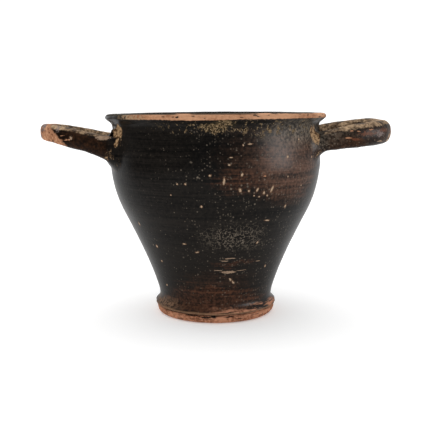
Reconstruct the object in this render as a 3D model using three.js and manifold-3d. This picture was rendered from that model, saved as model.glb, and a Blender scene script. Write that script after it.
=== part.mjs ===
// A black-gloss skyphos, the deep two-handled drinking cup of ancient Greek and South Italian pottery.
// The body is wheel-thrown, with an everted lip, a full shoulder, a long taper to a narrow stem and a
// ring foot turned as two rolls with a groove between them. Two loop handles are luted on level below
// the lip. Thrown, luted and fired together, it is one clay solid.
// Millimetres, +Z up. The origin is the centre of the foot's standing face, and the handles lie along X.

import * as THREE from "three";
import { mergeVertices } from "three/addons/utils/BufferGeometryUtils.js";
import Module from "manifold-3d";

// Body, outside
const height = 100; // standing face to the lip's top
const neckRadius = 51.0; // the slight waist under the lip
const neckDrop = 8.5; // from the lip's top down to that waist
const shoulderRadius = 52.15; // the fullest part of the wall
const shoulderDrop = 22; // from the lip's top down to the fullest part
const stemRadius = 28.25; // where the wall meets the foot

// The taper from the stem up to the shoulder: each point is a share of the rise and of the widening
const taperShares = [
  [0.06, 0.02],
  [0.143, 0.096],
  [0.257, 0.223],
  [0.4, 0.408],
  [0.543, 0.611],
  [0.686, 0.815],
  [0.8, 0.925],
  [0.914, 0.986],
];

// Lip
const lipRadius = 54.7; // at its widest edge
const lipDepth = 4.4; // from its top to where its underside meets the wall
const lipRootRadius = 51.7; // the wall's radius at that meeting
const lipCrownWidth = 1.7; // the rounded outer edge, measured inwards
const lipCrownDrop = 1.4; // the rounded outer edge, measured down
const lipUnderTurn = 40; // degrees of the round below the widest edge
const lipInnerWidth = 1.3; // the rounded inner edge, measured outwards
const lipInnerDrop = 1.6; // the rounded inner edge, measured down
const lipThickness = 5.5; // from the widest edge in to the mouth
const lipRise = 0.4; // how far the thrown lip stands high at +X and low at -X

// Wall and floor
const wall = 4; // thickness of the thrown wall
const floorHeight = 9.4; // standing face to the inside of the floor
const bowlHeight = 9; // from the floor up to where the inner wall runs parallel to the outer
const bowlShares = [
  [0, 0],
  [0.4, 0.03],
  [0.7, 0.16],
  [0.9, 0.45],
]; // share of the bowl's radius, share of its height

// Foot
const footRadius = 30.4; // the upper roll's widest edge
const upperRollWidth = 2.2; // how far the upper roll stands out from its own centre
const upperRollHeight = 1.8; // half its height
const lowerRollRadius = 29.4; // the lower roll's widest edge
const lowerRollWidth = 2.2;
const lowerRollHeight = 1.95; // half its height, and the height of its centre
const grooveGap = 0.2; // between the two rolls' facing halves, at the groove
const upperRollTurn = 45; // degrees that the upper roll turns under
const lowerRollTurn = 45; // degrees that the lower roll turns over
const standingWidth = 3.5; // the flat ring that the cup stands on
const recessDepth = 3.2; // the hollow inside the foot ring
const recessSlope = 1.8; // the run of that hollow's side
const recessNipple = 0.5; // how far the turned underside swells down at its centre

// Handles
const handleAngle = 21.5; // degrees each root lies off the X axis, seen from above
const handleReach = 82.5; // from the cup's axis to the tip of a loop's centre line
const handleDrop = 9.15; // from the lip's top down to that tip
const handleRootDrop = 7.3; // from the tip's height down to where the centre line meets the wall
const handleEndLength = 22; // the loop's oval end, along X to its centre line
const handleEndSpread = 19.4; // the same oval, from the X axis to its centre line
const handleClear = 0.6; // how far each arm runs square to the wall before it turns
const handleFlareLength = 12; // along the bar, from inside the wall
const barTall = 9.5;
const barWide = 9.1;

// The two loops differ as the potter's hand left them, in shares of the sizes above
const handles = [
  {
    side: 1, // towards +X
    reach: 0.994,
    drop: 0.975,
    rootDrop: 0.66,
    arch: 1.56, // 1 rises evenly, and more rises early and then levels off
    roll: 0.031, // the slope from the near arm up to the far one
    bar: 0.9, // how thick the bar is
    tip: 1.29, // how much thicker it is at the tip
    flare: 0.06, // how much it swells where it is luted on
  },
  {
    side: -1,
    reach: 1.006,
    drop: 1.025,
    rootDrop: 1.33,
    arch: 1.33,
    roll: -0.013,
    bar: 1.1,
    tip: 0.76,
    flare: 0.21,
  },
];

// How finely the curves are faceted
const turnSteps = 60;
const taperSteps = 16;
const wallSteps = 13;
const bowlSteps = 5;
const roundSteps = 4;
const rollSteps = 5;
const loopSteps = 4;
const handleSteps = 28;
const handleSides = 12;

// Places worked out from the sizes above
const shoulderHeight = height - shoulderDrop;
const neckHeight = height - neckDrop;
const lipRootHeight = height - lipDepth;
const upperRollCentre = 2 * lowerRollHeight + grooveGap + upperRollHeight;
const footHeight = upperRollCentre + upperRollHeight;
const mouthRadius = lipRadius - lipThickness;
const overMouth = 5; // how far the cavity's cutter runs past the lip

const wasm = await Module();
wasm.setup();

// A closed mesh as a solid that can be joined and cut.
function solidOf(geometry) {
  const bare = new THREE.BufferGeometry();
  bare.setAttribute("position", geometry.getAttribute("position"));
  bare.setIndex(geometry.index);
  const merged = mergeVertices(bare, 1e-4);
  return new wasm.Manifold(
    new wasm.Mesh({
      numProp: 3,
      vertProperties: merged.getAttribute("position").array,
      triVerts: new Uint32Array(merged.index.array),
    }),
  );
}

// A solid back as a geometry, with flat faces.
function geometryOf(solid) {
  const mesh = solid.getMesh();
  const geometry = new THREE.BufferGeometry();
  geometry.setAttribute(
    "position",
    new THREE.BufferAttribute(mesh.vertProperties, 3),
  );
  geometry.setIndex(new THREE.BufferAttribute(mesh.triVerts, 1));
  geometry.computeVertexNormals();
  return geometry;
}

// The thrown lip isn't quite level: the higher a point is, the more it rises towards +X.
function settleLip(geometry) {
  const position = geometry.getAttribute("position");
  for (let i = 0; i < position.count; i++) {
    const share = position.getZ(i) / height;
    const lean = (lipRise * position.getX(i) * share ** 3) / lipRadius;
    position.setZ(i, position.getZ(i) + lean);
  }
  return geometry;
}

// Turns a profile of (radius, height) points, listed upwards, about the Z axis.
function turned(profile) {
  const lathe = new THREE.LatheGeometry(profile, turnSteps);
  return solidOf(settleLip(lathe.rotateX(Math.PI / 2)));
}

// An elliptical round of a profile, in degrees anticlockwise from straight out.
function round(radius, level, across, upright, from, to, steps) {
  const arc = new THREE.EllipseCurve(
    radius,
    level,
    across,
    upright,
    THREE.MathUtils.degToRad(from),
    THREE.MathUtils.degToRad(to),
    from > to,
  );
  return arc.getPoints(steps);
}

// The wall's outside from the stem to the underside of the lip.
function wallCurve() {
  const rise = shoulderHeight - footHeight;
  const widening = shoulderRadius - stemRadius;
  const taper = taperShares.map(
    ([up, out]) =>
      new THREE.Vector2(stemRadius + out * widening, footHeight + up * rise),
  );
  return new THREE.SplineCurve([
    new THREE.Vector2(stemRadius, footHeight),
    ...taper,
    new THREE.Vector2(shoulderRadius, shoulderHeight),
    new THREE.Vector2(neckRadius, neckHeight),
    new THREE.Vector2(lipRootRadius, lipRootHeight),
  ]);
}

// The foot's outline from its standing ring up to the stem.
function footProfile() {
  const lowerRoll = round(
    lowerRollRadius - lowerRollWidth,
    lowerRollHeight,
    lowerRollWidth,
    lowerRollHeight,
    -90,
    lowerRollTurn,
    rollSteps,
  );
  const upperRoll = round(
    footRadius - upperRollWidth,
    upperRollCentre,
    upperRollWidth,
    upperRollHeight,
    -upperRollTurn,
    80,
    rollSteps,
  );
  return [...lowerRoll, ...upperRoll];
}

// The hollow under the cup, from its middle out to the standing ring.
function undersideProfile() {
  const standingInner = lowerRollRadius - lowerRollWidth - standingWidth;
  const ceilingRadius = standingInner - recessSlope;
  return [
    new THREE.Vector2(0, recessDepth - recessNipple),
    new THREE.Vector2(0.35 * ceilingRadius, recessDepth - 0.4 * recessNipple),
    new THREE.Vector2(0.8 * ceilingRadius, recessDepth),
    new THREE.Vector2(ceilingRadius, recessDepth),
    new THREE.Vector2(standingInner - 0.3 * recessSlope, 0.4 * recessDepth),
    new THREE.Vector2(standingInner, 0),
  ];
}

// The cup's outside as a closed turning, solid through the middle.
function outsideProfile() {
  const crown = round(
    lipRadius - lipCrownWidth,
    height - lipCrownDrop,
    lipCrownWidth,
    lipCrownDrop,
    -lipUnderTurn,
    90,
    roundSteps,
  );
  return [
    ...undersideProfile(),
    ...footProfile(),
    ...wallCurve().getPoints(taperSteps),
    ...crown,
    new THREE.Vector2(0, height),
  ];
}

// The inner wall: the outside's curve moved in by the wall's thickness, square to the surface.
function innerWall() {
  const curve = wallCurve();
  const bowlTop = floorHeight + bowlHeight;
  const points = [];
  for (let i = 0; i <= wallSteps; i++) {
    const point = curve.getPoint(i / wallSteps);
    const along = curve.getTangent(i / wallSteps);
    points.push(
      new THREE.Vector2(point.x - wall * along.y, point.y + wall * along.x),
    );
  }
  return points.filter(
    (point) => point.y > bowlTop && point.y < height - lipInnerDrop,
  );
}

// The hollow of the cup, running on past the lip.
function cavityProfile() {
  const sides = innerWall();
  const joint = sides[0];
  const bowl = new THREE.SplineCurve([
    ...bowlShares.map(
      ([out, up]) =>
        new THREE.Vector2(
          out * joint.x,
          floorHeight + up * (joint.y - floorHeight),
        ),
    ),
    joint,
  ]);
  const mouth = round(
    mouthRadius + lipInnerWidth,
    height - lipInnerDrop,
    lipInnerWidth,
    lipInnerDrop,
    180,
    90,
    roundSteps,
  );
  const clear = mouth[mouth.length - 1].x;
  return [
    ...bowl.getPoints(bowlSteps).slice(0, -1),
    ...sides,
    ...mouth,
    new THREE.Vector2(clear, height + overMouth),
    new THREE.Vector2(0, height + overMouth),
  ];
}

// A loop's centre line, from one root inside the wall round the tip to the other.
function handleCurve(handle) {
  const tipReach = handle.reach * handleReach;
  const tipHeight = height - handle.drop * handleDrop;
  const rootHeight = tipHeight - handle.rootDrop * handleRootDrop;
  const wallInside = shoulderRadius - wall;
  const angle = THREE.MathUtils.degToRad(handleAngle);
  const leave = shoulderRadius + handleClear;
  const end = new THREE.EllipseCurve(
    tipReach - handleEndLength,
    0,
    handleEndLength,
    handleEndSpread,
    Math.PI / 2,
    0,
    true,
  );
  const plan = [
    [wallInside * Math.cos(angle), wallInside * Math.sin(angle)],
    [leave * Math.cos(angle), leave * Math.sin(angle)],
    ...end.getPoints(loopSteps).map(({ x, y }) => [x, y]),
  ];
  const far = plan.slice(0, -1).reverse();
  const rootReach = plan[0][0];
  const place = (reach, across) => {
    const share = (reach - rootReach) / (tipReach - rootReach);
    const eased = 1 - (1 - share) ** handle.arch;
    const level = THREE.MathUtils.lerp(rootHeight, tipHeight, eased);
    const lifted = level + handle.roll * across;
    return new THREE.Vector3(handle.side * reach, across, lifted);
  };
  return new THREE.CatmullRomCurve3([
    ...plan.map(([reach, across]) => place(reach, -across)),
    ...far.map(([reach, across]) => place(reach, across)),
  ]);
}

// A loop handle: an oval bar along its centre line, swelling at both roots and changing a little to its tip.
function handleSolid(handle) {
  const curve = handleCurve(handle);
  const length = curve.getLength();
  const up = new THREE.Vector3(0, 0, 1);
  const corners = [];
  for (let i = 0; i <= handleSteps; i++) {
    const share = i / handleSteps;
    const centre = curve.getPointAt(share);
    const along = curve.getTangentAt(share);
    const across = new THREE.Vector3().crossVectors(along, up).normalize();
    const upright = new THREE.Vector3().crossVectors(across, along);
    const toRoot = length * Math.min(share, 1 - share);
    const nearRoot = Math.max(0, 1 - toRoot / handleFlareLength);
    const flare = 1 + handle.flare * nearRoot ** 2;
    const toTip = Math.sin(Math.PI * share);
    const size = handle.bar * flare * THREE.MathUtils.lerp(1, handle.tip, toTip);
    for (let j = 0; j < handleSides; j++) {
      const angle = (2 * Math.PI * j) / handleSides;
      const corner = centre
        .clone()
        .addScaledVector(across, 0.5 * barWide * size * Math.cos(angle))
        .addScaledVector(upright, 0.5 * barTall * size * Math.sin(angle));
      corners.push(corner);
    }
  }
  const faces = [];
  const last = handleSteps * handleSides;
  for (let i = 0; i < handleSteps; i++) {
    for (let j = 0; j < handleSides; j++) {
      const next = (j + 1) % handleSides;
      const a = i * handleSides + j;
      const b = i * handleSides + next;
      const c = a + handleSides;
      const d = b + handleSides;
      faces.push(a, c, b, b, c, d);
    }
  }
  for (let j = 1; j < handleSides - 1; j++) {
    faces.push(0, j, j + 1);
    faces.push(last, last + j + 1, last + j);
  }
  const bar = new THREE.BufferGeometry().setFromPoints(corners);
  bar.setIndex(faces);
  return solidOf(bar);
}

// The whole cup: the turned outside with both handles luted on, hollowed by the cavity.
function cup() {
  let solid = turned(outsideProfile());
  for (const handle of handles) solid = solid.add(handleSolid(handle));
  return solid.subtract(turned(cavityProfile()));
}

const blackGloss = new THREE.MeshStandardMaterial({
  color: 0x1f1a17,
  roughness: 0.4,
  metalness: 0,
});

const skyphos = new THREE.Mesh(geometryOf(cup()), blackGloss);
skyphos.name = "skyphos";

const part = new THREE.Group();
part.add(skyphos);

export default part;
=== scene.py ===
"""Looks of a black-gloss skyphos, the deep two-handled drinking cup, built round its CAD solid.

The body is turned from a half section, two loops are pulled and luted on, and the cup is then worn and
chipped, each step by a Geometry Nodes tree. One procedural finish covers it: black slip with brown misfired
streaks, orange clay where the slip has worn away, and the pale deposits that burial left on it.

Sizes are in millimetres until a mesh or a tree takes them. Azimuths are in degrees from the side that faces
the camera, -Y, round towards the right-hand handle, +X.
"""

from __future__ import annotations

import logging
import math
from collections.abc import Callable
from dataclasses import dataclass, replace
from enum import Enum
from functools import reduce
from typing import Union

import bpy
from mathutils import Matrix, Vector

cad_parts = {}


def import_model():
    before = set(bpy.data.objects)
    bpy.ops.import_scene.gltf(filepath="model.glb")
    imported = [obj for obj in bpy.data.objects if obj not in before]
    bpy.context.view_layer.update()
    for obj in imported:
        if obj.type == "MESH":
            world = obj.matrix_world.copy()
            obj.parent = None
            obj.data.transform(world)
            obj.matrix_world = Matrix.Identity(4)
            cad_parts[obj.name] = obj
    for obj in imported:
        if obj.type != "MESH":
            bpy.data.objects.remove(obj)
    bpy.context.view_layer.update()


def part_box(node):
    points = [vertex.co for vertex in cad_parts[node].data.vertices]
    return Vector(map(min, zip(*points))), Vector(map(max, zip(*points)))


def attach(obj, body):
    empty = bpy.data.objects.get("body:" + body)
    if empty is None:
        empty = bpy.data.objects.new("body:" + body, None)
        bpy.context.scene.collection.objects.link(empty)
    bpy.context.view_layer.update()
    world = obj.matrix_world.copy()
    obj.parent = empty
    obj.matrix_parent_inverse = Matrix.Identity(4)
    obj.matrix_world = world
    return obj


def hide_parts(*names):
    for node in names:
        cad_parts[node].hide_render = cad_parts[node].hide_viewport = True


LOG = logging.getLogger("skyphos")
MM = 0.001
CAD_NODE = "skyphos"
SLOT = "black_gloss_clay"

Mesh, Object, Material = bpy.types.Mesh, bpy.types.Object, bpy.types.Material
Point = tuple[float, float]
Point3 = tuple[float, float, float]
Lines = list[tuple[list[Point], float]]
Number = Union["Wire", float]
Value = Union["Wire", float, int, str, bool, tuple, list, bpy.types.ID]
Inputs = dict[str, Value]


def arithmetic(operation: str, reflected: bool = False) -> Callable[[Wire, Number], Wire]:
    """Makes the method of one operator.

    Args:
        operation: The Math node's operation.
        reflected: Whether the wire is the second of the two values.

    Returns:
        The method.
    """

    def method(wire: Wire, other: Number) -> Wire:
        """The result, from one Math node."""
        values = (other, wire) if reflected else (wire, other)
        return wire.graph.maths(operation, *values)

    return method


@dataclass(frozen=True, eq=False)
class Wire:
    """An output socket on which arithmetic is written, adding the Math nodes that it needs."""

    graph: Graph
    socket: bpy.types.NodeSocket

    __add__ = __radd__ = arithmetic("ADD")
    __mul__ = __rmul__ = arithmetic("MULTIPLY")
    __sub__, __rsub__ = arithmetic("SUBTRACT"), arithmetic("SUBTRACT", reflected=True)
    __truediv__, __rtruediv__ = arithmetic("DIVIDE"), arithmetic("DIVIDE", reflected=True)
    __pow__ = arithmetic("POWER")
    least = arithmetic("MINIMUM")
    most = arithmetic("MAXIMUM")


@dataclass(frozen=True, eq=False)
class Step:
    """A node that is wired in, whose outputs are read by name."""

    graph: Graph
    made: bpy.types.Node

    def __getitem__(self, name: str) -> Wire:
        """Reads an output.

        Args:
            name: Its name or identifier.

        Returns:
            Its wire.
        """
        for socket in self.made.outputs:
            if name in (socket.identifier, socket.name) and socket.enabled:
                return Wire(self.graph, socket)
        raise KeyError(f"{self.made.bl_idname} has no output {name}")

    def first(self) -> Wire:
        """The first output that is in use."""
        return next(Wire(self.graph, socket) for socket in self.made.outputs if socket.enabled)


class Graph:
    """A node tree that is being wired up, for shapes and for finishes alike."""

    def __init__(self, tree: bpy.types.NodeTree) -> None:
        """Starts on the tree with all that it had taken out."""
        self.tree = tree
        tree.nodes.clear()

    def node(self, kind: str, inputs: Inputs | None = None, **settings: Value) -> Step:
        """Adds one node.

        Args:
            kind: The node's type.
            inputs: A value, a wire or a list of wires for each socket, by identifier or name.
            settings: Its own properties, set before its sockets are used.

        Returns:
            The node, ready to be read.
        """
        made = self.tree.nodes.new(kind)
        for name, value in settings.items():
            setattr(made, name, value)
        for name, value in (inputs or {}).items():
            known = {socket.identifier: socket for socket in made.inputs}
            socket = known.get(name) or made.inputs[name]
            for part in value if isinstance(value, list) else [value]:
                if isinstance(part, Wire):
                    self.tree.links.new(part.socket, socket)
                else:
                    socket.default_value = part
        return Step(self, made)

    def wire(self, kind: str, inputs: Inputs | None = None, **settings: Value) -> Wire:
        """Adds one node, as above, and reads the first of its outputs that is in use."""
        return self.node(kind, inputs, **settings).first()

    def maths(self, operation: str, *values: Number) -> Wire:
        """One Math node on its values, in order."""
        return self.wire("ShaderNodeMath", dict(zip(("Value", "Value_001"), values)), operation=operation)

    def vectors(self, operation: str, first: Wire, second: Wire | tuple | float = (0, 0, 0)) -> Wire:
        """One Vector Math node; the second value is a number where the vector is only scaled."""
        name = "Scale" if operation == "SCALE" else "Vector_001"
        return self.wire("ShaderNodeVectorMath", {"Vector": first, name: second}, operation=operation)

    def parts(self, vector: Wire) -> tuple[Wire, Wire, Wire]:
        """The X, Y and Z of a vector, or the three channels of a random colour."""
        split = self.node("ShaderNodeSeparateXYZ", {"Vector": vector})
        return split["X"], split["Y"], split["Z"]

    def vector(self, *parts: Number) -> Wire:
        """The vector of an X, a Y and a Z."""
        return self.wire("ShaderNodeCombineXYZ", dict(zip("XYZ", parts)))

    def ramp(self, value: Wire, start: float, end: float, low: float = 0.0, high: float = 1.0) -> Wire:
        """A soft step.

        Args:
            value: What it follows.
            start: The value at which the step starts, which may be above its end.
            end: The value at which it ends.
            low: What it gives at the start.
            high: What it gives at the end.

        Returns:
            The number between low and high.
        """
        if start > end:
            start, end, low, high = end, start, high, low
        inputs = {"Value": value, "From Min": start, "From Max": end, "To Min": low, "To Max": high}
        return self.wire("ShaderNodeMapRange", inputs, interpolation_type="SMOOTHSTEP")

    def blend(self, share: Number, first: Number, second: Number) -> Wire:
        """A number between first, at share 0, and second, at share 1."""
        inputs = {"Factor_Float": share, "A_Float": first, "B_Float": second}
        return self.wire("ShaderNodeMix", inputs, data_type="FLOAT")

    def tint(self, share: Number, first: Wire | tuple, second: Wire | tuple) -> Wire:
        """A colour between first, at share 0, and second, at share 1."""
        inputs = {"Factor_Float": share, "A_Color": first, "B_Color": second}
        return self.wire("ShaderNodeMix", inputs, data_type="RGBA")

    def noise(self, place: Wire, across: float, along: float | None = None, detail: float = 2.0) -> Wire:
        """Smooth noise about a half.

        Args:
            place: Where it is read, in millimetres.
            across: The size of its features in X and Y, in millimetres.
            along: Their size in Z, where it differs.
            detail: How many finer layers it has.

        Returns:
            A number that seldom leaves 0.2 to 0.8.
        """
        if along:
            place = self.vectors("MULTIPLY", place, (1, 1, across / along))
        return self.wire("ShaderNodeTexNoise", {"Vector": place, "Scale": 1 / across, "Detail": detail})


class ShapeTree(Graph):
    """A Geometry Nodes tree with named sizes, which runs once on a starting mesh."""

    SOCKETS = {float: "Float", int: "Int", Object: "Object", Material: "Material"}

    def __init__(self, name: str) -> None:
        """Makes the tree and its first input, the starting mesh.

        Args:
            name: The tree's name.
        """
        super().__init__(bpy.data.node_groups.new(name, "GeometryNodeTree"))
        for way in ("INPUT", "OUTPUT"):
            self.tree.interface.new_socket("Geometry", in_out=way, socket_type="NodeSocketGeometry")
        self.entry = self.node("NodeGroupInput")
        self.given: dict[str, Value] = {}

    def size(self, name: str, value: Value) -> Wire:
        """Adds a named input.

        Args:
            name: What it is called.
            value: What it holds; a length is in metres.

        Returns:
            Its wire.
        """
        kind = "NodeSocket" + self.SOCKETS[type(value)]
        socket = self.tree.interface.new_socket(name, in_out="INPUT", socket_type=kind)
        self.given[socket.identifier] = value
        return self.entry[name]

    def form(self, kind: str, inputs: Inputs | None = None, **settings: Value) -> Wire:
        """Adds one geometry node and reads the first of its outputs."""
        return self.wire("GeometryNode" + kind, inputs, **settings)

    def curve(self, shape: Wire) -> Wire:
        """A mesh of edges as a curve."""
        return self.form("MeshToCurve", {"Mesh": shape}, mode="EDGES")

    def other(self, name: str, piece: Object) -> Wire:
        """Another object's shape, through a named input."""
        return self.node("GeometryNodeObjectInfo", {"Object": self.size(name, piece)})["Geometry"]

    def millimetres(self) -> Wire:
        """Where each point is, in millimetres."""
        return self.vectors("SCALE", self.form("InputPosition"), 1 / MM)

    def attribute(self, name: str) -> Wire:
        """A number kept on the mesh."""
        return self.form("InputNamedAttribute", {"Name": name}, data_type="FLOAT")

    def keep(self, shape: Wire, name: str, value: Wire) -> Wire:
        """Keeps a number on each point of the shape, for the finish to read."""
        inputs = {"Geometry": shape, "Name": name, "Value": value}
        return self.form("StoreNamedAttribute", inputs, data_type="FLOAT")

    def moved(self, shape: Wire, offset: Wire) -> Wire:
        """The shape with each point moved by a vector."""
        return self.form("SetPosition", {"Geometry": shape, "Offset": offset})

    def grown(self, shape: Wire, amount: Wire) -> Wire:
        """The shape with each point moved out the way that it faces."""
        return self.moved(shape, self.vectors("SCALE", self.form("InputNormal"), amount))

    def distance(self, target: Wire) -> Wire:
        """How far each point is from another shape's surface, in metres."""
        return self.node("GeometryNodeProximity", {"Target": target}, target_element="FACES")["Distance"]

    def random(self, low: float, high: float, seed: int) -> Wire:
        """A number that differs from point to point."""
        inputs = {"Min_001": low, "Max_001": high, "Seed": seed}
        return self.wire("FunctionNodeRandomValue", inputs, data_type="FLOAT")

    def run(self, start: Mesh, result: Wire, material: Material, name: str) -> Object:
        """Ends the tree, runs it and keeps its result as a plain mesh.

        Args:
            start: The mesh that the tree starts from.
            result: The tree's last shape.
            material: The finish that the shape gets.
            name: The new object's name.

        Returns:
            The object, at the origin, with no modifier left.
        """
        whole = self.form("RealizeInstances", {"Geometry": result})
        dressed = self.form("SetMaterial", {"Geometry": whole, "Material": self.size("Finish", material)})
        self.node("NodeGroupOutput", {"Geometry": dressed})
        piece = placed(name, start)
        modifier = piece.modifiers.new(self.tree.name, "NODES")
        modifier.node_group = self.tree
        for identifier, value in self.given.items():
            modifier[identifier] = value
        graph = bpy.context.evaluated_depsgraph_get()
        plain = bpy.data.meshes.new_from_object(piece.evaluated_get(graph), depsgraph=graph)
        piece.modifiers.clear()
        piece.data = plain
        plain.name = name
        return piece


def placed(name: str, data: bpy.types.ID) -> Object:
    """A new object in the scene, which holds the data."""
    piece = bpy.data.objects.new(name, data)
    bpy.context.scene.collection.objects.link(piece)
    return piece


def outline(name: str, points: list[Point3], closed: bool = False) -> Mesh:
    """A line of edges.

    Args:
        name: The mesh's name.
        points: Its points in order, in millimetres.
        closed: Whether its end is joined to its start.

    Returns:
        The mesh, in metres.
    """
    count = len(points)
    edges = [(i, (i + 1) % count) for i in range(count if closed else count - 1)]
    mesh = bpy.data.meshes.new(name)
    mesh.from_pydata([[number * MM for number in point] for point in points], edges, [])
    return mesh


def arc(centre: Point, wide: float, tall: float, start: float, end: float, steps: int = 24) -> list[Point]:
    """Points along an elliptical round of a section.

    Args:
        centre: Its radius and height.
        wide: Half its width.
        tall: Half its height.
        start: Where it starts, in degrees anticlockwise from straight out.
        end: Where it ends.
        steps: How many steps it takes.

    Returns:
        The points as radius and height.
    """
    turns = [math.radians(start + (end - start) * i / steps) for i in range(steps + 1)]
    return [(centre[0] + wide * math.cos(turn), centre[1] + tall * math.sin(turn)) for turn in turns]


def spline(knots: list[Point], steps: int = 24) -> list[Point]:
    """Points along a smooth curve.

    Args:
        knots: The points that it passes through.
        steps: How many steps it takes between two knots.

    Returns:
        The points as radius and height.
    """
    ends = [knots[0], *knots, knots[-1]]
    points = []
    for before, start, end, after in zip(ends, ends[1:], ends[2:], ends[3:]):
        for i in range(steps):
            points.append(tuple(catmull_rom(*pair, i / steps) for pair in zip(before, start, end, after)))
    return [*points, knots[-1]]


def catmull_rom(before: float, start: float, end: float, after: float, share: float) -> float:
    """One coordinate of a Catmull-Rom curve.

    Args:
        before: The coordinate at the knot before the stretch.
        start: The coordinate at its start.
        end: The coordinate at its end.
        after: The coordinate at the knot after it.
        share: How far along the stretch it is read, from 0 to 1.

    Returns:
        The coordinate there.
    """
    leave, arrive = (end - before) / 2, (after - start) / 2
    bend = 2 * start - 2 * end + leave + arrive
    swing = -3 * start + 3 * end - 2 * leave - arrive
    return ((bend * share + swing) * share + leave) * share + start


def evenly(points: list[Point], spacing: float) -> list[Point]:
    """Spreads a line's points evenly along it.

    Args:
        points: The line.
        spacing: About how far apart its points end up.

    Returns:
        The same line with its new points.
    """
    lengths = [math.dist(a, b) for a, b in zip(points, points[1:])]
    count = max(1, round(sum(lengths) / spacing))
    wanted = sum(lengths) / count
    spread, walked, passed = [points[0]], 0.0, 1
    for (start, end), length in zip(zip(points, points[1:]), lengths):
        while passed < count and walked + length >= passed * wanted:
            share = (passed * wanted - walked) / length
            spread.append(tuple(a + share * (b - a) for a, b in zip(start, end)))
            passed += 1
        walked += length
    return [*spread, points[-1]]


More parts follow.
